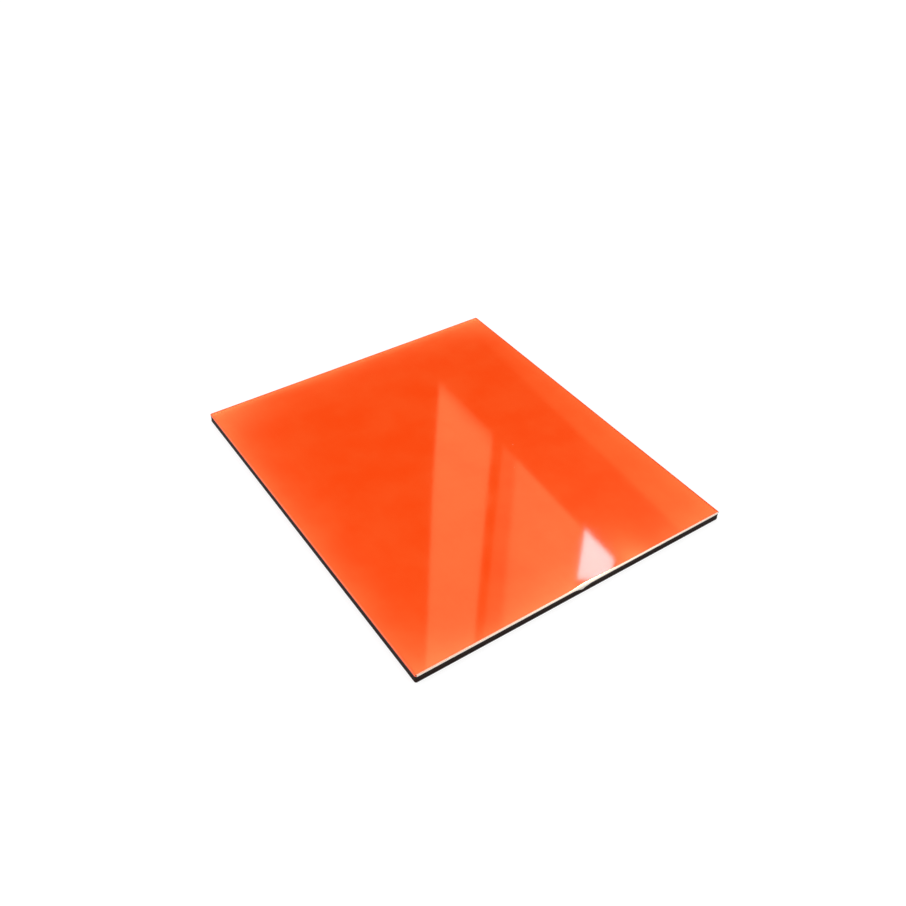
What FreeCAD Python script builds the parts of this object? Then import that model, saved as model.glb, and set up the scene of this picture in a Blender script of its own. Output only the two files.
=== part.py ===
import FreeCAD, Part
import os
from math import radians, sin

Vector = FreeCAD.Vector

# A cut sample of aluminium composite panel: a painted aluminium skin, a solid polyethylene
# core and a plain aluminium skin, bonded over their whole faces.
# It lies on z = 0 with the finish face up, and the origin is the middle of its back.
# X runs along the length, which is the direction the skins were rolled in.

# Driving dimensions, in millimetres and degrees
panel_length = 175.0
panel_width = 150.0
face_skin = 0.5
core_thickness = 3.0
back_skin = 0.5

# The blade enters through the finish face and draws the skin's edge down before it cuts
edge_turn = 25.0      # how far the finish face has turned when it reaches the cut, in degrees
turn_radius = 1.0     # bend of the skin's underside, which the core's shoulder fills
corner_land = 0.2     # plan radius of the flat at each corner, inside the drawn edge
core_setback = 0.08   # the core springs back behind the cut edges of the skins
foot_chamfer = 0.1    # deburred lower edge of the back skin

# Both bends share one centre line, so the drawn skin keeps its thickness
finish_radius = turn_radius + face_skin
shoulder = finish_radius * sin(radians(edge_turn))
cut_corner = corner_land + shoulder
core_top = back_skin + core_thickness
panel_top = core_top + face_skin


def plate(length, width, corner, bottom, top):
    # A plate centred on the origin in plan, with its upright edges rounded
    box = Part.makeBox(length, width, top - bottom, Vector(-length / 2, -width / 2, bottom))
    uprights = [edge for edge in box.Edges if edge.BoundBox.ZLength > 0.5 * (top - bottom)]
    return box.makeFillet(corner, uprights)


def rim(solid, height):
    # The edges that run round a plate at one height
    return [
        edge
        for edge in solid.Edges
        if abs(edge.CenterOfMass.z - height) < 1e-6 and edge.BoundBox.ZLength < 1e-6
    ]


def cut_outline(inset, bottom, top):
    # What the blade leaves: the panel's outline, or the same outline set in from it
    return plate(
        panel_length - 2 * inset,
        panel_width - 2 * inset,
        cut_corner - inset,
        bottom,
        top,
    )


def drawn_block(bend, top):
    # The layer's top surface carried past the cut, as a block with a full round on its rim,
    # so that the cut meets the round where it has turned by edge_turn
    reach = bend - shoulder
    block = plate(
        panel_length + 2 * reach,
        panel_width + 2 * reach,
        cut_corner + reach,
        back_skin,
        top,
    )
    return block.makeFillet(bend, rim(block, top))


def face_sheet():
    # Painted skin of one thickness, flat inside and turned down round its edge
    skin = drawn_block(finish_radius, panel_top).cut(drawn_block(turn_radius, core_top))
    return skin.common(cut_outline(0.0, back_skin, panel_top))


def core():
    # Solid sheet with a rounded shoulder that seats in the turned edge of the face skin
    return drawn_block(turn_radius, core_top).common(
        cut_outline(core_setback, back_skin, core_top)
    )


def back_sheet():
    # Flat skin under the core, its lower edge broken so that it doesn't scratch
    skin = cut_outline(0.0, 0.0, back_skin)
    return skin.makeChamfer(foot_chamfer, rim(skin, 0.0))


os.makedirs("parts", exist_ok=True)
layers = {"face_sheet": face_sheet(), "core": core(), "back_sheet": back_sheet()}
for name, shape in layers.items():
    solid = shape.Solids[0]
    box = solid.BoundBox
    solid.exportStep(f"parts/{name}.step")
    print(
        f"{name}: {len(shape.Solids)} solid, valid {solid.isValid()}, {solid.Volume:.1f} mm3,"
        f" {box.XLength:.2f} x {box.YLength:.2f}, z {box.ZMin:.3f} to {box.ZMax:.3f}"
    )
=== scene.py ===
import math
import bpy
from mathutils import Matrix, Vector, noise


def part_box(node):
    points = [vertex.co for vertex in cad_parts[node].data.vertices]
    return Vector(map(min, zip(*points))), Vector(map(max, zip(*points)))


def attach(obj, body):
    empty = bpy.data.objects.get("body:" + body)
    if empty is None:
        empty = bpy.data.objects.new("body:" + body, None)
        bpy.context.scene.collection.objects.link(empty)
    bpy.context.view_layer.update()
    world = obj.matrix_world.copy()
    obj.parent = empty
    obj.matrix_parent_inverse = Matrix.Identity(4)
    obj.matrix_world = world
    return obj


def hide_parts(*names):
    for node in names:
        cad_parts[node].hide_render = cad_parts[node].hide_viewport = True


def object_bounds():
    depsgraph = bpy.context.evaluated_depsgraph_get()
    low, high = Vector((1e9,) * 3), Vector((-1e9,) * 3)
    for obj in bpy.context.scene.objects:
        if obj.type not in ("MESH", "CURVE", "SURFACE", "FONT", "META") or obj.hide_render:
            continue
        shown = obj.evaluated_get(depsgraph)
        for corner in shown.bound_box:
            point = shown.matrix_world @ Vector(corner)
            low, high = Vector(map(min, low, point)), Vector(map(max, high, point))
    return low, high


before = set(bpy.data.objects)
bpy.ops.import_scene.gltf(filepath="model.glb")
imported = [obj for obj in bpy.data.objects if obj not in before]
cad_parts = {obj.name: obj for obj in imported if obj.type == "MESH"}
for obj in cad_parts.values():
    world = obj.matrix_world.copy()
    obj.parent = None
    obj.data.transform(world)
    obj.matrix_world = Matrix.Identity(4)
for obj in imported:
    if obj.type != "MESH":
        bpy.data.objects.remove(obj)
cadLow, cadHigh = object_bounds()

mm = 0.001
panelX = cadHigh[0] - cadLow[0]
panelY = cadHigh[1] - cadLow[1]
panelTop = cadHigh[2]
halfLength = panelX / 2 / mm    # in millimetres, as the materials work
halfWidth = panelY / 2 / mm
print("frame loaded:", sorted(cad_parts))


# Shader sums are written as plain expressions on sockets

class Value:
    def __init__(self, nodes, socket):
        self.nodes = nodes
        self.socket = socket

    def maths(self, operation, other=0.0, swapped=False):
        pair = (other, self) if swapped else (self, other)
        return self.nodes.add("Math", {"operation": operation}, dict(enumerate(pair)))

    def __add__(self, other):
        return self.maths("ADD", other)

    def __radd__(self, other):
        return self.maths("ADD", other, swapped=True)

    def __sub__(self, other):
        return self.maths("SUBTRACT", other)

    def __rsub__(self, other):
        return self.maths("SUBTRACT", other, swapped=True)

    def __mul__(self, other):
        return self.maths("MULTIPLY", other)

    def __rmul__(self, other):
        return self.maths("MULTIPLY", other, swapped=True)

    def __truediv__(self, other):
        return self.maths("DIVIDE", other)

    def __rtruediv__(self, other):
        return self.maths("DIVIDE", other, swapped=True)

    def __rpow__(self, other):
        return self.maths("POWER", other, swapped=True)

    def __neg__(self):
        return self.maths("MULTIPLY", -1.0)

    def __abs__(self):
        return self.maths("ABSOLUTE")

    def atLeast(self, other):
        return self.maths("MAXIMUM", other)

    def atMost(self, other):
        return self.maths("MINIMUM", other)


class Nodes:
    def __init__(self, tree):
        self.tree = tree
        tree.nodes.clear()

    def add(self, kind, settings=None, inputs=None, output=0):
        made = self.tree.nodes.new("ShaderNode" + kind)
        for name, value in (settings or {}).items():
            setattr(made, name, value)
        for name, value in (inputs or {}).items():
            if isinstance(value, Value):
                self.tree.links.new(value.socket, made.inputs[name])
            elif hasattr(value, "__len__") and made.inputs[name].type == "RGBA":
                made.inputs[name].default_value = (*value[:3], 1.0)
            else:
                made.inputs[name].default_value = value
        return Value(self, made.outputs[output]) if len(made.outputs) else made

    def placeInMm(self):
        # The row frame's own coordinates, in millimetres
        return self.scaled(self.add("TexCoord", output="Object"), 1 / mm)

    def axis(self, place, which):
        return self.add("SeparateXYZ", {}, {"Vector": place}, which)

    def stretched(self, place, x, y, z):
        return self.add("VectorMath", {"operation": "MULTIPLY"}, {0: place, 1: (x, y, z)})

    def grain(self, place, scale, detail=2.0, rough=0.5):
        # Noise from 0 to 1, with about scale waves in each millimetre
        return self.add(
            "TexNoise",
            {"noise_dimensions": "3D"},
            {"Vector": place, "Scale": scale, "Detail": detail, "Roughness": rough},
        )

    def specks(self, place, scale, channel, size, share):
        # Round specks in a share of the cells of a scattered pattern
        cells = {"Vector": place, "Scale": scale}
        near = self.add("TexVoronoi", {"feature": "F1"}, cells, "Distance")
        colour = self.add("TexVoronoi", {"feature": "F1"}, cells, "Color")
        pick = self.add("SeparateColor", {}, {"Color": colour}, channel)
        return self.fade(near, *size) * self.fade(pick, *share)

    def fade(self, value, low, high):
        # 0 at low and 1 at high, with soft ends
        return self.add(
            "MapRange",
            {"interpolation_type": "SMOOTHSTEP"},
            {"Value": value, "From Min": low, "From Max": high},
        )

    def between(self, value, rise, fall):
        return self.fade(value, *rise) * self.fade(value, *fall)

    def blend(self, factor, first, second):
        return self.add(
            "Mix",
            {"data_type": "RGBA", "clamp_factor": True},
            {0: factor, 6: first, 7: second},
            2,
        )

    def scaled(self, vector, amount):
        # A place, or a colour of any strength, also above white
        return self.add("VectorMath", {"operation": "SCALE"}, {0: vector, "Scale": amount})

    def together(self, first, second):
        return self.add("VectorMath", {"operation": "ADD"}, {0: first, 1: second})

    def bump(self, height, depth):
        return self.add("Bump", {}, {"Height": height, "Distance": depth})

    def surface(self, **sockets):
        inputs = {name.replace("_", " "): value for name, value in sockets.items()}
        shader = self.add("BsdfPrincipled", {}, inputs)
        self.add("OutputMaterial", {}, {"Surface": shader})


def newMaterial(name):
    material = bpy.data.materials.new(name)
    material.use_nodes = True
    return material, Nodes(material.node_tree)


def hump(value, middle, width):
    # 1 in the middle, falling off on both sides
    off = (value - middle) / width
    return math.e ** (-(off * off))


def mixed(values, shares):
    # Each value times its share, added up
    return sum(value * share for value, share in zip(values, shares))


def decay(distance, length):
    return math.e ** (distance / -length)


def ripple(x, y, z, size, seed):
    # Smooth noise from about -1 to 1
    return noise.noise(Vector((x / size, y / size, z / size + seed)))


def swell(x, y, z, size, seed):
    # The same noise from 0 to 1
    return 0.5 + 0.5 * ripple(x, y, z, size, seed)


def clamp(value):
    return max(0.0, min(1.0, value))


# Panel mesh: a grid for each broad face, and close rows of points round the cut edge

layout = {
    "cell": 2.5 * mm,       # grid on the broad faces
    "split": 8,             # points on the edge for each cell of the grid
    "cornerSteps": 8,       # faces round each corner
    "cutCorner": 0.834 * mm,    # plan radius of the corners at the cut
    "sharp": 40.0,          # degrees, above which an edge of the mesh isn't smoothed
}


def edgeColumns(gridX, gridY, cellsX, cellsY):
    # Where each column of the edge starts on the grid's outline, and which way it looks
    corners = [(gridX, -gridY), (gridX, gridY), (-gridX, gridY), (-gridX, -gridY)]
    sides = [(1, 0), (0, 1), (-1, 0), (0, -1)]
    columns = []
    for side, (outX, outY) in enumerate(sides):
        start, end = Vector(corners[side]), Vector(corners[(side + 1) % 4])
        steps = (cellsY if outX else cellsX) * layout["split"]
        for step in range(steps + 1):
            columns.append((start.lerp(end, step / steps), Vector((outX, outY))))
        for step in range(1, layout["cornerSteps"]):
            turn = math.atan2(outY, outX) + step / layout["cornerSteps"] * math.pi / 2
            columns.append((end, Vector((math.cos(turn), math.sin(turn)))))
    return columns


def layerMesh(name, rows, wave, relief):
    # Each row is its distance outside the grid, its height and its material, from the top down
    gridX = panelX / 2 - layout["cutCorner"]
    gridY = panelY / 2 - layout["cutCorner"]
    cellsX = round(2 * gridX / layout["cell"])
    cellsY = round(2 * gridY / layout["cell"])
    split = layout["split"]
    points, faces, slots = [], [], []

    def grid(height, slot, flip):
        first = len(points)
        for j in range(cellsY + 1):
            for i in range(cellsX + 1):
                x = -gridX + 2 * gridX * i / cellsX
                y = -gridY + 2 * gridY * j / cellsY
                points.append((x, y, height + wave(x, y, height)))
        for j in range(cellsY):
            for i in range(cellsX):
                a = first + j * (cellsX + 1) + i
                quad = (a, a + 1, a + cellsX + 2, a + cellsX + 1)
                faces.append(quad[::-1] if flip else quad)
                slots.append(slot)
        right = [first + j * (cellsX + 1) + cellsX for j in range(cellsY + 1)]
        far = [first + cellsY * (cellsX + 1) + i for i in range(cellsX, -1, -1)]
        left = [first + j * (cellsX + 1) for j in range(cellsY, -1, -1)]
        near = [first + i for i in range(cellsX + 1)]
        return [right, far, left, near]

    columns = edgeColumns(gridX, gridY, cellsX, cellsY)
    count = len(columns)
    upper = grid(rows[0][1], rows[0][2], flip=False)
    ringStart = []
    for index, (out, height, slot) in enumerate(rows):
        ringStart.append(len(points))
        for base, way in columns:
            push, lift = relief(base, way, out, height, index)
            x, y = base + way * (out + push)
            points.append((x, y, height + lift + wave(x, y, height)))
    lower = grid(rows[-1][1], rows[-1][2], flip=True)

    def join(rims, ring, slot, flip):
        # Ties a ring of close points to the grid's coarser outline
        at = 0
        for side in range(4):
            for cell in range(len(rims[side]) - 1):
                run = [ring + at + k for k in range(split + 1)]
                polygon = [rims[side][cell]] + run + [rims[side][cell + 1]]
                faces.append(polygon[::-1] if flip else polygon)
                slots.append(slot)
                at += split
            corner = rims[side][-1]
            for k in range(layout["cornerSteps"]):
                a, b = ring + at, ring + (at + 1) % count
                faces.append((corner, b, a) if flip else (corner, a, b))
                slots.append(slot)
                at += 1

    join(upper, ringStart[0], rows[0][2], flip=False)
    for index in range(len(rows) - 1):
        above, below = ringStart[index], ringStart[index + 1]
        for k in range(count):
            n = (k + 1) % count
            faces.append((above + k, below + k, below + n, above + n))
            slots.append(rows[index + 1][2])
    join(lower, ringStart[-1], rows[-1][2], flip=True)

    mesh = bpy.data.meshes.new(name)
    mesh.from_pydata(points, [], faces)
    mesh.polygons.foreach_set("material_index", slots)
    mesh.polygons.foreach_set("use_smooth", [True] * len(faces))
    mesh.set_sharp_from_angle(angle=math.radians(layout["sharp"]))
    mesh.update()
    piece = bpy.data.objects.new(name, mesh)
    bpy.context.scene.collection.objects.link(piece)
    return piece


# Face skin: gloss orange coil coat on aluminium, drawn down by the shear

faceSkin = {
    "thickness": 0.5 * mm,
    "underBend": 1.0 * mm,      # radius on the underside of the drawn edge
    "turn": 25.0,               # degrees turned at the cut
    "land": 0.2 * mm,           # plan radius of the flat's corners
    "shoulderRows": 9,
    "cutRows": 7,
    "underRows": 4,
    "waveDepth": 0.016 * mm,    # unevenness of the rolled and coated sheet
    "waveSize": 42 * mm,
    "waveFade": 2 * mm,         # below the top, where the unevenness has died out
    "rippleShare": 0.35,        # a finer unevenness on it, and its size against waveSize
    "rippleSize": 0.4,
    "wander": 0.03 * mm,        # how far the cut strays from its line
    "wanderSize": 9 * mm,
    "tear": 0.035 * mm,         # how deep the torn part of the cut is
    "tearSize": 0.5 * mm,
    "tearFlat": 1.6,            # how much wider than high its grain is
    "tearSoft": 0.12 * mm,      # height over which it begins
    "nick": 0.08 * mm,          # depth of the nicks
    "nickSize": 1.9 * mm,
    "nickFrom": 0.45,           # higher leaves fewer nicks
    "burrAt": 1.4 * mm,         # the one burr that the blade left, on the +X edge
    "burrWidth": 2.6 * mm,
    "burrDrop": 0.9 * mm,
    "burrSide": 1.0 * mm,       # how far in from that edge it can begin
    "lobe": 0.35,               # coarse and fine unevenness of its outline
    "lobeSize": 0.9 * mm,
    "tooth": 0.25,
    "toothSize": 0.35 * mm,
    "cut": {
        "burnish": 0.55,        # share of the cut's height that the blade has polished
        "lip": 0.04,            # mm of paint dragged down over the cut
        "darkFilm": 0.15,          # share of the cut that the core has smeared
        "farSidesLessShade": 0.0,
    },
    # Each noise is given as waves per mm, detail and roughness
    "coat": {
        "orange": (0.985, 0.0690, 0.0058),
        "paleOrange": (0.99, 0.0850, 0.0105),
        "cloud": (0.055, 3.0, 0.55),
        "streakStretch": (0.012, 0.7, 0.0),
        "streakShare": 0.1,
        "contrast": 1.2,
        "toneRange": (0.25, 0.75),
        "dust": (0.93, 0.42, 0.27),
        "dustScale": 0.16,          # cells per mm, of which few hold a speck
        "dustSize": (0.045, 0.02),
        "dustShare": (0.94, 0.95),
        "dustStrength": 0.6,
        "rough": 0.045,             # roughness of clean coat, then what is added to it
        "smudgeRough": 0.02,
        "dustRough": 0.25,
        "bareRough": 0.1,
        "dragRough": 0.15,
        "peel": (0.62, 1.0, 0.4),
        "peelDepth": 0.00035 * mm,
        "smudge": (0.055, 4.0, 0.6),
        "smudgeFrom": (0.52, 0.75),
        "ragged": (2.6, 3.0, 0.6),  # outline of chips and wear
        "raggedWear": 0.3,          # mm
        "chipSlope": 1.2273,        # how fast chips die out with each mm from the edge
        "chipFrom": (0.62, 0.66),
        "bareHighlightSide": 0.51,           # mm of the +X edge laid bare as a painted highlight
        "bareHighlightEnd": 0.11,            # mm less of it towards the +Y end
        "bareHighlightFrom": 5.0,            # mm, the y at which it begins to narrow
        "bareHighlightSoft": 0.06,
        "paleHighlightSide": 0.95,           # mm of that edge where the coat is painted paler, as more of that highlight
        # the pale colour of the painted highlight
        "paleHighlight": (0.97, 0.30, 0.17),
        "paleHighlightBehindBare": 0.5,      # how pale that painted highlight is next to the bare metal
        "paleHighlightAround": 0.32,         # and how pale it is painted along every shoulder, a painted edge highlight
        "paleHighlightReach": (0.7, 0.1),
        "burrGlint": 0.34,           # mm more bare metal above the burr: a painted glint
        "burrGlintWidth": 3.9 * mm,
        "glintSpread": 0.36,          # and beside it, more of that painted glint
        "glintSpreadAt": 7.5 * mm,
        "glintSpreadWidth": 9.0 * mm,
        "dragStretch": (0.3, 5.0, 5.0),     # lines that the blade leaves in bare metal
        "drag": (1.0, 3.0, 0.6),
        "dragHeight": 3.0,          # in peelDepth
        "bareDepth": 6.0,           # the coat's thickness, in peelDepth
    },
}


def edgeShape():
    upperBend = faceSkin["underBend"] + faceSkin["thickness"]
    shoulder = upperBend * math.sin(math.radians(faceSkin["turn"]))
    return upperBend, shoulder, faceSkin["land"] + shoulder


def tornDepth(x, y, height, skin, seed):
    return skin["tear"] * swell(x, y, height * skin["tearFlat"], skin["tearSize"], seed)


def faceWave(x, y, height):
    # Always downwards, so that the sheet stays inside its own thickness
    size = faceSkin["waveSize"]
    fine = ripple(x, y, 0, size * faceSkin["rippleSize"], seed=8.7)
    level = ripple(x, y, 0, size, seed=3.1) + faceSkin["rippleShare"] * fine
    inside = 1 + (height - panelTop) / faceSkin["waveFade"]
    return -faceSkin["waveDepth"] * clamp(0.5 + 0.5 * level) * clamp(inside)


def makeFaceSkin():
    upperBend, shoulder, cutOut = edgeShape()
    land, underBend = faceSkin["land"], faceSkin["underBend"]
    lastCut = faceSkin["shoulderRows"] + faceSkin["cutRows"]
    rows = []
    for k in range(faceSkin["shoulderRows"] + 1):
        turn = math.radians(faceSkin["turn"]) * k / faceSkin["shoulderRows"]
        drop = upperBend * (1 - math.cos(turn))
        rows.append((land + upperBend * math.sin(turn), panelTop - drop, 0))
    cutTop = rows[-1][1]
    underTurn = math.asin(shoulder / underBend)
    underTop = panelTop - faceSkin["thickness"]
    cutFoot = underTop - underBend * (1 - math.cos(underTurn))
    for k in range(1, faceSkin["cutRows"] + 1):
        rows.append((cutOut, cutTop + (cutFoot - cutTop) * k / faceSkin["cutRows"], 1))
    for k in range(1, faceSkin["underRows"] + 1):
        turn = underTurn * (1 - k / faceSkin["underRows"])
        drop = underBend * (1 - math.cos(turn))
        rows.append((land + underBend * math.sin(turn), underTop - drop, 1))
    tearFrom = cutTop - (cutTop - cutFoot) * faceSkin["cut"]["burnish"]
    burrSide = panelX / 2 - faceSkin["burrSide"]

    def relief(base, way, out, height, index):
        if index == 0 or index > lastCut:
            return 0.0, 0.0
        x, y = base + way * out
        reach = (out - land) / shoulder
        wander = faceSkin["wander"] * swell(x, y, 0, faceSkin["wanderSize"], seed=1.3) * reach
        torn = clamp((tearFrom - height) / faceSkin["tearSoft"])
        torn *= tornDepth(x, y, height, faceSkin, seed=5.5)
        nick = max(0.0, ripple(x, y, height, faceSkin["nickSize"], seed=9.4) - faceSkin["nickFrom"])
        nick *= faceSkin["nick"] * reach
        burr = hump(y, faceSkin["burrAt"], faceSkin["burrWidth"]) if x > burrSide else 0.0
        lobe = faceSkin["lobe"] * ripple(x, y, 0, faceSkin["lobeSize"], seed=7.7)
        burr *= 1 + lobe + faceSkin["tooth"] * ripple(x, y, 0, faceSkin["toothSize"], seed=2.9)
        down = max(0.0, cutTop - height) / (cutTop - cutFoot)
        push = (wander + torn + nick) * max(0.0, 1 - burr)
        return -push, -burr * faceSkin["burrDrop"] * down ** 2

    piece = layerMesh("faceSkin", rows, faceWave, relief)
    piece.data.materials.append(orangeCoat())
    piece.data.materials.append(cutAluminium("cutFace", cutTop, cutFoot, faceSkin["cut"]))
    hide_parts("face_sheet")
    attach(piece, "root")
    print("face skin:", len(piece.data.polygons), "faces")


def orangeCoat():
    material, nodes = newMaterial("orangeCoat")
    place = nodes.placeInMm()
    coat = faceSkin["coat"]
    cloud = nodes.grain(place, *coat["cloud"])
    streak = nodes.grain(nodes.stretched(place, *coat["streakStretch"]), 1.0)
    tone = cloud * (1 - coat["streakShare"]) + streak * coat["streakShare"]
    tone = (tone - 0.5) * coat["contrast"] + 0.5
    colour = nodes.blend(nodes.fade(tone, *coat["toneRange"]), coat["orange"], coat["paleOrange"])
    speck = nodes.specks(place, coat["dustScale"], 0, coat["dustSize"], coat["dustShare"])
    colour = nodes.blend(speck * coat["dustStrength"], colour, coat["dust"])

    # Bare metal: small chips where the blade went in; the bare and paler band along the +X shoulder
    # is a painted highlight
    x, y = nodes.axis(place, 0), nodes.axis(place, 1)
    toEdge = (halfLength - abs(x)).atMost(halfWidth - abs(y))
    ragged = nodes.grain(place, *coat["ragged"])
    chipped = nodes.fade(ragged - toEdge * coat["chipSlope"], *coat["chipFrom"])
    fromHighlight = halfLength - x + (ragged - 0.5) * coat["raggedWear"]
    fromHighlight = fromHighlight + nodes.fade(y, coat["bareHighlightFrom"], halfWidth) * coat["bareHighlightEnd"]
    # Painted glint: the bare band widens above the burr and beside it
    fromHighlight = fromHighlight - hump(y * mm, faceSkin["burrAt"], coat["burrGlintWidth"]) * coat["burrGlint"]
    fromHighlight = fromHighlight - hump(y * mm, coat["glintSpreadAt"], coat["glintSpreadWidth"]) * coat["glintSpread"]
    highlightBand, soft = coat["bareHighlightSide"], coat["bareHighlightSoft"]
    bareChipsAndHighlight = chipped.atLeast(nodes.fade(fromHighlight, highlightBand + soft, highlightBand - soft))
    # Painted highlight: paler coat behind the bare band on the +X shoulder
    paleHighlight = nodes.fade(fromHighlight, coat["paleHighlightSide"], highlightBand) * coat["paleHighlightBehindBare"]
    # Painted highlight: paler coat along every shoulder
    paleAround = nodes.fade(toEdge, *coat["paleHighlightReach"]) * coat["paleHighlightAround"]
    colour = nodes.blend(paleAround.atLeast(paleHighlight), colour, coat["paleHighlight"])
    colour = nodes.blend(bareChipsAndHighlight, colour, cutEdge["bright"])

    peel = nodes.grain(place, *coat["peel"])
    drag = nodes.grain(nodes.stretched(place, *coat["dragStretch"]), *coat["drag"])
    relief = peel + bareChipsAndHighlight * (drag * coat["dragHeight"] - coat["bareDepth"])
    smudge = nodes.fade(nodes.grain(place, *coat["smudge"]), *coat["smudgeFrom"])
    rough = coat["rough"] + smudge * coat["smudgeRough"] + speck * coat["dustRough"]
    rough = rough + bareChipsAndHighlight * (coat["bareRough"] + coat["dragRough"] * drag)
    nodes.surface(
        Base_Color=colour,
        Metallic=bareChipsAndHighlight,
        Roughness=rough,
        Normal=nodes.bump(relief, coat["peelDepth"]),
        IOR=1.5,
    )
    return material


# Bare aluminium of both skins' cuts: polished by the blade above, torn below

cutEdge = {
    "bright": (0.90, 0.84, 0.75),
    "torn": (0.55, 0.52, 0.48),
    "tornStrength": 0.35,   # how much of that shade the torn part has
    "crumbStrength": 0.5,   # and how much more in its crumbs
    "smearAndShade": (0.020, 0.012, 0.010),
    "paintedShadeSide": 0.92,       # how much more dark film the -Y side's cut gets: painted shade
    "shadeSideLip": 0.30,        # mm more paint over the cut there
    "sideReach": (1.1, 0.3),    # mm from an edge, over which the -Y side's painted shade, and the back skin's lighter far sides, come in
    "ragged": (1.4, 2.0, 0.5),  # line between the polished and the torn part
    "raggedDepth": 0.16,        # mm
    "tornFrom": (0.03, -0.09),  # mm above that line
    "dragStretch": (1.0, 1.0, 0.12),
    "drag": (5.0, 3.0, 0.6),
    "crumb": (7.0, 3.0, 0.6),
    "darkFilmStretch": (1.0, 1.0, 0.3),
    "darkFilm": (2.2, 3.0, 0.6),
    "darkFilmShares": (0.6, 0.4, 0.6),     # of streaks, crumbs and cover
    "darkFilmFrom": (0.74, 0.82),
    "lipRagged": 0.08,      # mm
    "lipSoft": (-0.01, 0.01),
    "rough": (0.2, 0.14, 0.22, 0.2),    # polished, and what drag lines, tearing and smear add
    "lineShare": 0.5,
    "lineDepth": 0.012 * mm,
}


def cutAluminium(name, top, foot, cut):
    material, nodes = newMaterial(name)
    place = nodes.placeInMm()
    across, along, height = [nodes.axis(place, which) for which in range(3)]
    begin, full = cutEdge["sideReach"]
    shadedSide = nodes.fade(along, begin - halfWidth, full - halfWidth)
    ragged = (nodes.grain(place, *cutEdge["ragged"]) - 0.5) * cutEdge["raggedDepth"]
    aboveTear = height + ragged - (top - (top - foot) * cut["burnish"]) / mm
    torn = nodes.fade(aboveTear, *cutEdge["tornFrom"])
    drag = nodes.grain(nodes.stretched(place, *cutEdge["dragStretch"]), *cutEdge["drag"])
    crumb = nodes.grain(place, *cutEdge["crumb"])
    tornShade = torn * (cutEdge["tornStrength"] + cutEdge["crumbStrength"] * crumb)
    shade = nodes.blend(tornShade, cutEdge["bright"], cutEdge["torn"])

    # Dark film: the core's smear, and on the -Y side painted shade
    streak = nodes.grain(nodes.stretched(place, *cutEdge["darkFilmStretch"]), *cutEdge["darkFilm"])
    cover = cut["darkFilm"] + shadedSide * cutEdge["paintedShadeSide"] * (1 - cut["darkFilm"])
    # Far sides of the back skin's cut: less of the painted shade
    if cut["farSidesLessShade"] > 0:
        behind = nodes.fade(across, begin - halfLength, full - halfLength)
        behind = behind.atLeast(nodes.fade(along, halfWidth - begin, halfWidth - full))
        cover = cover - behind * cut["farSidesLessShade"]
    smearAndShade = mixed((streak, crumb, cover), cutEdge["darkFilmShares"])
    film = nodes.fade(smearAndShade, *cutEdge["darkFilmFrom"])
    shade = nodes.blend(film, shade, cutEdge["smearAndShade"])
    painted = 0.0
    if cut["lip"] > 0:
        paintEnd = top / mm - cut["lip"] - shadedSide * cutEdge["shadeSideLip"]
        paintEnd = paintEnd + (crumb - 0.5) * cutEdge["lipRagged"]
        painted = nodes.fade(height - paintEnd, *cutEdge["lipSoft"])
        shade = nodes.blend(painted, shade, faceSkin["coat"]["orange"])
    lines = drag * (1 - torn) * cutEdge["lineShare"] + crumb * torn
    nodes.surface(
        Base_Color=shade,
        Metallic=(1 - film) * (1 - painted),
        Roughness=mixed((1.0, drag, torn, film), cutEdge["rough"]),
        Normal=nodes.bump(lines, cutEdge["lineDepth"]),
    )
    return material


# Core: dark polyethylene, cut by the same blade

coreSlab = {
    "setback": 0.08 * mm,
    "shoulderRows": 5,
    "rows": 18,
    "under": 0.4 * mm,      # how far the mesh turns in over the back skin
    "drag": 0.03 * mm,      # depth of the streaks that the blade leaves
    "streakSize": 0.9 * mm,
    "streakLean": 0.12,     # sideways with each mm of height
    "streakLong": 0.1,      # how much of the height counts in the streaks: less is longer
    "fineSize": 0.42 * mm,
    "fineLong": 0.35,
    "lumpSize": 3.2 * mm,
    "depths": (0.4, 0.3, 0.6),      # of streaks, fine lines and lumps, times drag
    "fineTop": 0.4,         # depth of the fine lines at the top, where they are weakest
    "edgeSoft": 0.3,        # less takes the streaks nearer to the skins
    "edgeEnd": 1.02,        # more ends them higher above the back skin
    "waist": 0.03 * mm,     # how far the middle of the cut draws in
    "dark": (0.0085, 0.0036, 0.0026),
    "light": (0.0170, 0.0090, 0.0072),
    "cloud": (0.5, 4.0, 0.6),
    "dragStretch": (1.0, 1.0, 0.15),
    "dragLines": (3.0, 3.0, 0.6),
    "shares": (0.6, 0.4),   # of cloud and drag lines in the colour
    "toneRange": (0.3, 0.7),
    "fleck": (0.075, 0.070, 0.066),
    "fleckScale": 1.7,      # cells per mm
    "fleckSize": (0.3, 0.12),
    "fleckShare": (0.86, 0.9),
    "fleckStrength": 0.55,
    "rough": (0.5, 0.2, -0.1),      # plain, and what cloud and drag lines add
    "gloss": 0.04,
    "reliefShares": (0.4, 0.6),
    "lineDepth": 0.03 * mm,
}


def flat(x, y, height):
    return 0.0


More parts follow.
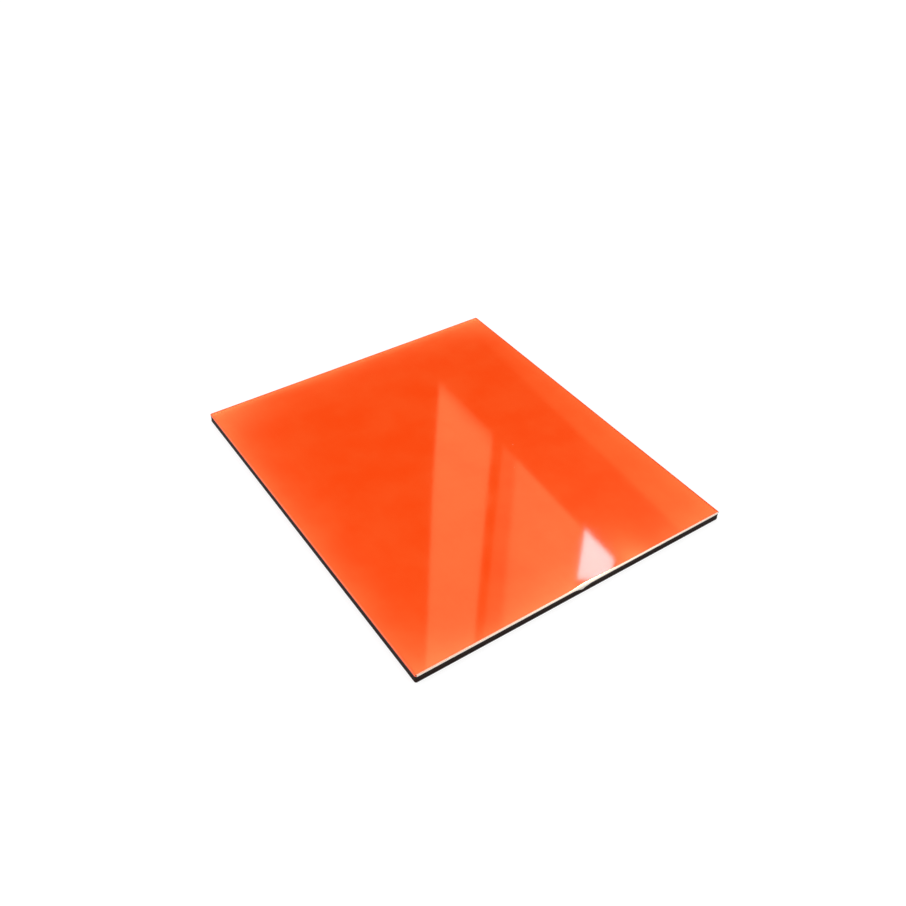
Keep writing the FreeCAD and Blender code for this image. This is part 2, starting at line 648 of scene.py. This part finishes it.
def makeCore():
    cutOut = edgeShape()[2]
    low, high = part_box("core")
    bend, land = faceSkin["underBend"], faceSkin["land"]
    edgeOut = cutOut - coreSlab["setback"]
    endTurn = math.asin((edgeOut - land) / bend)
    shoulderRows = coreSlab["shoulderRows"]
    rows = []
    for k in range(shoulderRows + 1):
        turn = endTurn * k / shoulderRows
        rows.append((land + bend * math.sin(turn), high[2] - bend * (1 - math.cos(turn)), 0))
    cutTop = rows[-1][1]
    for k in range(1, coreSlab["rows"] + 1):
        rows.append((edgeOut, cutTop + (low[2] - cutTop) * k / coreSlab["rows"], 0))
    rows.append((edgeOut - coreSlab["under"], low[2], 0))

    def relief(base, way, out, height, index):
        if index <= shoulderRows or index == len(rows) - 1:
            return 0.0, 0.0
        x, y = base + way * out
        part = (cutTop - height) / (cutTop - low[2])
        lean = height * coreSlab["streakLean"]
        long = height * coreSlab["streakLong"]
        streak = swell(x + lean, y - lean, long, coreSlab["streakSize"], seed=2.2)
        fine = swell(x, y, height * coreSlab["fineLong"], coreSlab["fineSize"], seed=6.1)
        lump = swell(x, y, height, coreSlab["lumpSize"], seed=4.4)
        waist = coreSlab["waist"] * math.sin(math.pi * part) ** 2
        uneven = mixed((streak, fine * (coreSlab["fineTop"] + part), lump), coreSlab["depths"])
        middle = math.sin(math.pi * min(1, part * coreSlab["edgeEnd"])) ** coreSlab["edgeSoft"]
        return -(waist + coreSlab["drag"] * uneven * middle), 0.0

    piece = layerMesh("coreSlab", rows, flat, relief)
    piece.data.materials.append(darkPolyethylene())
    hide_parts("core")
    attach(piece, "root")
    print("core:", len(piece.data.polygons), "faces")


def darkPolyethylene():
    material, nodes = newMaterial("darkPolyethylene")
    place = nodes.placeInMm()
    cloud = nodes.grain(place, *coreSlab["cloud"])
    drag = nodes.grain(nodes.stretched(place, *coreSlab["dragStretch"]), *coreSlab["dragLines"])
    tone = nodes.fade(mixed((cloud, drag), coreSlab["shares"]), *coreSlab["toneRange"])
    colour = nodes.blend(tone, coreSlab["dark"], coreSlab["light"])
    size, share = coreSlab["fleckSize"], coreSlab["fleckShare"]
    fleck = nodes.specks(place, coreSlab["fleckScale"], 1, size, share)
    colour = nodes.blend(fleck * coreSlab["fleckStrength"], colour, coreSlab["fleck"])
    nodes.surface(
        Base_Color=colour,
        Roughness=mixed((1.0, cloud, drag), coreSlab["rough"]),
        Normal=nodes.bump(mixed((cloud, drag), coreSlab["reliefShares"]), coreSlab["lineDepth"]),
        IOR=1.5,
        Specular_IOR_Level=coreSlab["gloss"],
    )
    return material


# Back skin: thin service coat over rolled aluminium

backSkin = {
    "chamfer": 0.1 * mm,
    "cutRows": 6,
    "tear": 0.025 * mm,
    "tearSize": 0.5 * mm,
    "tearFlat": 1.6,
    "tearSoft": 0.1 * mm,
    "wander": 0.02 * mm,
    "wanderSize": 11 * mm,
    "cut": {
        "burnish": 0.55,
        "lip": 0.0,
        # On the back skin's cut, most of this dark film is painted shade on the +X and -Y sides,
        # partly the core's smear
        "darkFilm": 0.8,
        "farSidesLessShade": 0.6,     # how much less of that dark film and painted shade the -X and +Y sides have
    },
    "coat": (0.45, 0.465, 0.48),
    "coatThin": (0.63, 0.64, 0.645),
    "grainStretch": (0.02, 1.0, 1.0),       # rolling lines
    "grain": (2.4, 4.0, 0.65),
    "bandStretch": (0.006, 0.16, 0.0),      # and broad bands of them
    "band": (1.0, 3.0, 0.6),
    "cloud": (0.05, 3.0),
    "shares": (0.45, 0.35, 0.2),    # of lines, bands and cloud in the colour
    "toneRange": (0.32, 0.68),
    "scratch": (0.78, 0.785, 0.79),
    "hairStretch": (0.012, 0.21, 0.0),
    "hair": (1.0, 5.0, 0.75),
    "hairWidth": (0.006, 0.001),
    "patch": (0.035, 2.0),  # where the hair scratches are
    "patchFrom": (0.5, 0.62),
    "scratchStrength": 0.7,
    "metal": 0.55,          # the coat is so thin that the metal shows through
    "rough": (0.34, 0.14, 0.08, -0.12),     # plain, and what lines, cloud and scratches add
    "scratchDepth": 0.6,    # in lineDepth
    "lineDepth": 0.004 * mm,
}


def makeBackSkin():
    cutOut = edgeShape()[2]
    low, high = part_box("back_sheet")
    land, chamfer = faceSkin["land"], backSkin["chamfer"]
    foot = low[2] + chamfer
    rows = [(land, high[2], 1), (cutOut, high[2], 1)]
    for k in range(1, backSkin["cutRows"] + 1):
        rows.append((cutOut, high[2] + (foot - high[2]) * k / backSkin["cutRows"], 1))
    rows.append((cutOut - chamfer, low[2], 1))
    rows.append((land, low[2], 0))
    tearFrom = high[2] - (high[2] - foot) * backSkin["cut"]["burnish"]

    def relief(base, way, out, height, index):
        if index == 0 or index >= len(rows) - 2:
            return 0.0, 0.0
        x, y = base + way * out
        torn = clamp((tearFrom - height) / backSkin["tearSoft"])
        torn *= tornDepth(x, y, height, backSkin, seed=15.5)
        wander = backSkin["wander"] * swell(x, y, 0, backSkin["wanderSize"], seed=12.3)
        return -(wander + torn), 0.0

    piece = layerMesh("backSkin", rows, flat, relief)
    piece.data.materials.append(serviceCoat())
    piece.data.materials.append(cutAluminium("cutBack", high[2], foot, backSkin["cut"]))
    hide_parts("back_sheet")
    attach(piece, "root")
    print("back skin:", len(piece.data.polygons), "faces")


def serviceCoat():
    material, nodes = newMaterial("serviceCoat")
    place = nodes.placeInMm()
    grain = nodes.grain(nodes.stretched(place, *backSkin["grainStretch"]), *backSkin["grain"])
    bands = nodes.grain(nodes.stretched(place, *backSkin["bandStretch"]), *backSkin["band"])
    cloud = nodes.grain(place, *backSkin["cloud"])
    tone = nodes.fade(mixed((grain, bands, cloud), backSkin["shares"]), *backSkin["toneRange"])
    colour = nodes.blend(tone, backSkin["coat"], backSkin["coatThin"])

    # Hair scratches from sliding in the stack, in patches
    hairs = nodes.grain(nodes.stretched(place, *backSkin["hairStretch"]), *backSkin["hair"])
    patch = nodes.fade(nodes.grain(place, *backSkin["patch"]), *backSkin["patchFrom"])
    scratch = nodes.fade(abs(hairs - 0.5), *backSkin["hairWidth"]) * patch
    colour = nodes.blend(scratch * backSkin["scratchStrength"], colour, backSkin["scratch"])
    nodes.surface(
        Base_Color=colour,
        Metallic=backSkin["metal"],
        Roughness=mixed((1.0, grain, cloud, scratch), backSkin["rough"]),
        Normal=nodes.bump(grain - scratch * backSkin["scratchDepth"], backSkin["lineDepth"]),
    )
    return material


# Camera: where the panel was seen from

view = {
    "place": (0.2623, -0.1848, 0.2855),
    "aim": (-0.00384, 0.0032, 0.004),
    "roll": 1.44,           # degrees
    "lens": 38.78,
    "sensor": 36.0,
    "nearest": 0.01,        # metres
}


def makeCamera():
    data = bpy.data.cameras.new("camera")
    data.lens = view["lens"]
    data.sensor_width = view["sensor"]
    data.clip_start = view["nearest"]
    camera = bpy.data.objects.new("camera", data)
    look = (Vector(view["aim"]) - Vector(view["place"])).to_track_quat("-Z", "Y").to_matrix()
    roll = Matrix.Rotation(math.radians(view["roll"]), 3, "Z")
    camera.matrix_world = Matrix.Translation(view["place"]) @ (look @ roll).to_4x4()
    bpy.context.scene.collection.objects.link(camera)
    bpy.context.scene.camera = camera
    print("camera set")


def flatSheet(name, lowX, lowY, highX, highY, height):
    mesh = bpy.data.meshes.new(name)
    outline = [(lowX, lowY), (highX, lowY), (highX, highY), (lowX, highY)]
    mesh.from_pydata([(x, y, height) for x, y in outline], [], [(0, 1, 2, 3)])
    piece = bpy.data.objects.new(name, mesh)
    bpy.context.scene.collection.objects.link(piece)
    material, nodes = newMaterial(name)
    mesh.materials.append(material)
    return piece, nodes


# Boards over the panel, which light nothing and show only in the gloss

board = {
    "height": 0.6,          # metres
    "reach": (-250, -300, 310, 160),    # mm in the panel's frame: lowest x and y, highest x and y
    "blur": 4.0,            # mm outside the panel over which the windows fade
    "foot": (262, -185),    # mm, the point under the camera, to which upright lines run
    "sill": 25.0,           # mm, the y at which the windows' lower edge is mirrored
    "sillSlope": -0.060,
    "sillDrop": 0.5,        # mm that its right end is nearer
    "sillDropFrom": (20.0, 60.0),
    "window": (2.0, 1.68, 0.75),
    "bright": (11.5, 12.8, 13.4),
    "band": (1.0, 0.74, 0.24),      # a pale strip along the +Y side
    "bandFrom": (58.8, 61.5),
    "bandSlope": 0.075,
    "bandStart": (-110.0, 60.0),
    "flare": (85.0, -6.0, 12.0, 15.0),      # a spot: its middle and its size in x and y, in mm
    "flareLevel": 0.22,
    # Each pane's sides are given as mm along the sill, and mm that they lean with each mm up
    "footSoft": 1.0,
    "firstPane": {"sides": ((-47.0, -0.113), (-3.9, -0.064)), "soft": 1.0, "past": 0.0},
    "secondPane": {"sides": ((3.9, -0.067), (61.0, 0.0)), "soft": 1.0, "past": 0.0},
    "brightPane": {"sides": ((61.2, 0.0), (79.6, 0.0)), "soft": 0.9, "past": 0.8},
    # Light and shade in the panes
    "shade": {
        "firstLevel": 1.04,
        "firstTop": (-6.0, 9.0),
        "stepAt": (10.8, 16.4),     # the second pane is dimmer before this
        "stepLevel": 0.47,
        "secondLevel": 1.03,
        "secondAlong": 0.0035,      # brighter with each mm to the right, dimmer with each mm up
        "secondUp": -0.0025,
        "secondFoot": 0.86,
        "secondRise": 0.16,
        "secondRiseFrom": (3.0, 14.0),
        "slantSlope": 1.5,          # the bright pane ends in a slant
        "slantFrom": (5.4, 8.7),
    },
    # Glow towards the panel's edges: mm over which it falls off, and its level there
    "edges": {
        "tint": (2.0, 1.0, 0.40),
        "left": ((10.0, 0.62), (1.3, 4.3)),
        "near": ((7.0, 1.6),),
        "far": ((3.0, 0.9),),
        "right": (5.5, 0.9),
        "rightNearer": 1.3,         # added to its level towards the near corner
        "rightNearerFrom": (20.0, -5.0),
        "haze": 35.0,               # a wider glow from the right, on the +Y part only
        "hazeFrom": (14.0, 24.0),
        "gap": (8.0, 2.9),          # light that comes past the bright pane
        "gapSpot": (84.0, 27.0, 99.0, 7.0),
        "corners": (                # level, and the middle and size of the spot
            (0.85, (-84.0, -66.0, 16.0, 16.0)),
            (0.4, (82.0, -73.0, 13.0, 13.0)),
            (0.5, (-84.0, 74.0, 12.0, 12.0)),
        ),
    },
    # Beyond the panel's outline, in mm: what its bare +X edge (a painted highlight) and its near
    # edge mirror
    "beyond": {
        "wall": (1.25, 0.88, 0.72),
        "wallMiddle": (1.6, 1.62, 1.45),
        "wallMiddleSpot": (180.0, -4.0, 900.0, 27.0),
        "wallX": ((87.0, 96.0), (300.0, 240.0)),
        "wallY": ((-130.0, -90.0), (130.0, 85.0)),
        "bench": (2.0, 1.5, 0.85),
        "benchX": ((-210.0, -140.0), (112.0, 92.0)),
        "benchY": ((-76.0, -79.0), (-290.0, -160.0)),
    },
}


def windowLight(nodes):
    # Worked out in the panel's own millimetres, because the board is its mirrored outline
    place = nodes.placeInMm()
    x, y = nodes.axis(place, 0), nodes.axis(place, 1)
    footX, footY = board["foot"]
    along = footX + (x - footX) * (board["sill"] - footY) / (y - footY).atLeast(1.0)
    over = board["sill"] + along * board["sillSlope"] - y
    over = over - nodes.fade(along, *board["sillDropFrom"]) * board["sillDrop"]
    toLeft, toRight = (x + halfLength).atLeast(0.0), (halfLength - x).atLeast(0.0)
    toNear, toFar = (y + halfWidth).atLeast(0.0), (halfWidth - y).atLeast(0.0)

    def pane(name):
        shape = board[name]
        left, right = [over * lean + at for at, lean in shape["sides"]]
        soft, past = shape["soft"], shape["past"]
        inside = nodes.between(along, (left - soft, left + soft), (right + soft, right - soft))
        return inside * nodes.fade(over, -board["footSoft"] - past, board["footSoft"] - past)

    def spot(middleX, middleY, sizeX, sizeY):
        return hump(x, middleX, sizeX) * hump(y, middleY, sizeY)

    shade = board["shade"]
    first = pane("firstPane") * nodes.fade(over, *shade["firstTop"]) * shade["firstLevel"]
    step = nodes.fade(along, *shade["stepAt"]) * (1 - shade["stepLevel"]) + shade["stepLevel"]
    slope = shade["secondLevel"] + along * shade["secondAlong"] + over * shade["secondUp"]
    rise = shade["secondFoot"] + shade["secondRise"] * nodes.fade(over, *shade["secondRiseFrom"])
    second = pane("secondPane") * step * slope * rise
    slant = nodes.fade(y + toRight * shade["slantSlope"], *shade["slantFrom"])
    bright = pane("brightPane") * slant
    band = nodes.fade(y + x * board["bandSlope"], *board["bandFrom"])
    band = band * nodes.fade(x, *board["bandStart"])
    flare = spot(*board["flare"]) * board["flareLevel"]

    edges = board["edges"]
    length, level = edges["right"]
    nearer = nodes.fade(y, *edges["rightNearerFrom"]) * edges["rightNearer"]
    glow = decay(toRight, length) * (level + nearer)
    glow = glow + decay(toRight, edges["haze"]) * nodes.fade(y, *edges["hazeFrom"])
    length, level = edges["gap"]
    glow = glow + decay(toRight, length) * spot(*edges["gapSpot"]) * level
    for distance, side in ((toLeft, "left"), (toNear, "near"), (toFar, "far")):
        for length, level in edges[side]:
            glow = glow + decay(distance, length) * level
    for level, corner in edges["corners"]:
        glow = glow + spot(*corner) * level

    light = nodes.scaled(edges["tint"], glow)
    light = nodes.together(light, nodes.scaled(board["window"], first + second + flare))
    light = nodes.together(light, nodes.scaled(board["band"], band))
    light = nodes.blend(bright, light, board["bright"])
    outside = (abs(x) - halfLength).atLeast(abs(y) - halfWidth)
    light = nodes.scaled(light, nodes.fade(outside, board["blur"], 0.0))

    beyond = board["beyond"]
    wall = nodes.between(x, *beyond["wallX"]) * nodes.between(y, *beyond["wallY"])
    wallTone = nodes.blend(spot(*beyond["wallMiddleSpot"]), beyond["wall"], beyond["wallMiddle"])
    bench = nodes.between(x, *beyond["benchX"]) * nodes.between(y, *beyond["benchY"])
    return nodes.blend(bench, nodes.blend(wall, light, wallTone), beyond["bench"])


# Ceiling above the board: dark overhead, paler towards the walls, with one roof light

ceiling = {
    "reach": 9.0,           # metres each way
    "over": 0.02,           # metres above the board
    "dark": 500.0,          # mm from the middle, where it begins to pale
    "pale": 8500.0,         # and where it is as white as the room
    "roofX": ((-210.0, -186.0), (200.0, 176.0)),    # mm, mirrored in the views from +Y
    "roofY": ((-980.0, -788.0), (-640.0, -664.0)),
    "roofBar": (4.0, 28.0),     # the bar between its two panes, from its middle
    "roofLevel": 0.85,
}


def ceilingLight(nodes):
    place = nodes.placeInMm()
    x, y = nodes.axis(place, 0), nodes.axis(place, 1)
    out = nodes.add("VectorMath", {"operation": "LENGTH"}, {0: place}, 1)
    roof = nodes.between(x, *ceiling["roofX"]) * nodes.between(y, *ceiling["roofY"])
    roof = roof * nodes.fade(abs(x), *ceiling["roofBar"]) * ceiling["roofLevel"]
    return nodes.scaled((1.0, 1.0, 1.0), nodes.fade(out, ceiling["dark"], ceiling["pale"]) + roof)


def reflector(name, lowX, lowY, highX, highY, height, paint):
    piece, nodes = flatSheet(name, lowX, lowY, highX, highY, height)
    glow = nodes.add("Emission", {}, {"Color": paint(nodes), "Strength": 1.0})
    nodes.add("OutputMaterial", {}, {"Surface": glow})
    piece.data.materials[0].cycles.emission_sampling = "NONE"
    for rays in ("camera", "diffuse", "shadow", "transmission", "volume_scatter"):
        setattr(piece, "visible_" + rays, False)
    return piece


def makeReflectors():
    # The board is the panel's outline, scaled up as the camera sees it mirrored in the face
    windows = reflector("windowBoard", *[at * mm for at in board["reach"]], 0.0, windowLight)
    eyeX, eyeY, eyeZ = view["place"]
    scale = 1 + (board["height"] - panelTop) / (eyeZ - panelTop)
    middle = ((1 - scale) * eyeX, (1 - scale) * eyeY, board["height"])
    windows.matrix_world = Matrix.Translation(middle) @ Matrix.Scale(scale, 4)
    wide = ceiling["reach"]
    reflector("ceiling", -wide, -wide, wide, wide, board["height"] + ceiling["over"], ceilingLight)
    print("reflectors hung")


# Room: a key from the right, and white where the camera, gloss or glass sees it

room = {
    "level": 0.36,          # of the room's light on everything
    "white": (1.0, 1.0, 1.0),
    "keyLevel": 2.96,
    "keySide": -47.0,       # degrees round from +X towards +Y
    "keyHeight": 47.0,
    "keySpread": 10.0,
}


def seenRays(nodes):
    # 1 on the rays that show a background, and 0 on the light that falls on things
    seen = nodes.add("LightPath", output="Is Camera Ray")
    seen = seen.atLeast(nodes.add("LightPath", output="Is Glossy Ray"))
    return seen.atLeast(nodes.add("LightPath", output="Is Transmission Ray"))


def makeRoom():
    world = bpy.data.worlds.new("room")
    bpy.context.scene.world = world
    world.use_nodes = True
    nodes = Nodes(world.node_tree)
    dim = nodes.add("Background", {}, {"Color": room["white"], "Strength": room["level"]})
    white = nodes.add("Background", {}, {"Color": room["white"], "Strength": 1.0})
    both = nodes.add("MixShader", {}, {0: seenRays(nodes), 1: dim, 2: white})
    nodes.add("OutputWorld", {}, {"Surface": both})

    data = bpy.data.lights.new("key", "SUN")
    data.energy = room["keyLevel"]
    data.angle = math.radians(room["keySpread"])
    key = bpy.data.objects.new("key", data)
    side, height = math.radians(room["keySide"]), math.radians(room["keyHeight"])
    level = math.cos(height)
    towards = Vector((math.cos(side) * level, math.sin(side) * level, math.sin(height)))
    key.rotation_mode = "QUATERNION"
    key.rotation_quaternion = towards.to_track_quat("Z", "Y")
    key.visible_glossy = False
    bpy.context.scene.collection.objects.link(key)
    bpy.context.scene.view_settings.view_transform = "Standard"
    print("light set")


# Floor: pale paper under the panel

paper = {
    "reach": 3.0,           # metres each way
    "drop": 0.02 * mm,      # below the panel, so that the two faces don't meet
    "tone": (0.92, 0.92, 0.92),
    "lift": 0.115,          # keeps it white where it is seen
}


def makeFloor():
    reach = paper["reach"]
    piece, nodes = flatSheet("floor", -reach, -reach, reach, reach, -paper["drop"])
    plain = nodes.add("BsdfDiffuse", {}, {"Color": paper["tone"]})
    lift = nodes.add("Emission", {}, {"Color": room["white"], "Strength": paper["lift"]})
    lifted = nodes.add("AddShader", {}, {0: plain, 1: lift})
    both = nodes.add("MixShader", {}, {0: seenRays(nodes), 1: plain, 2: lifted})
    nodes.add("OutputMaterial", {}, {"Surface": both})
    print("floor laid")


makeCamera()
makeFaceSkin()
makeCore()
makeBackSkin()
makeFloor()
makeReflectors()
makeRoom()
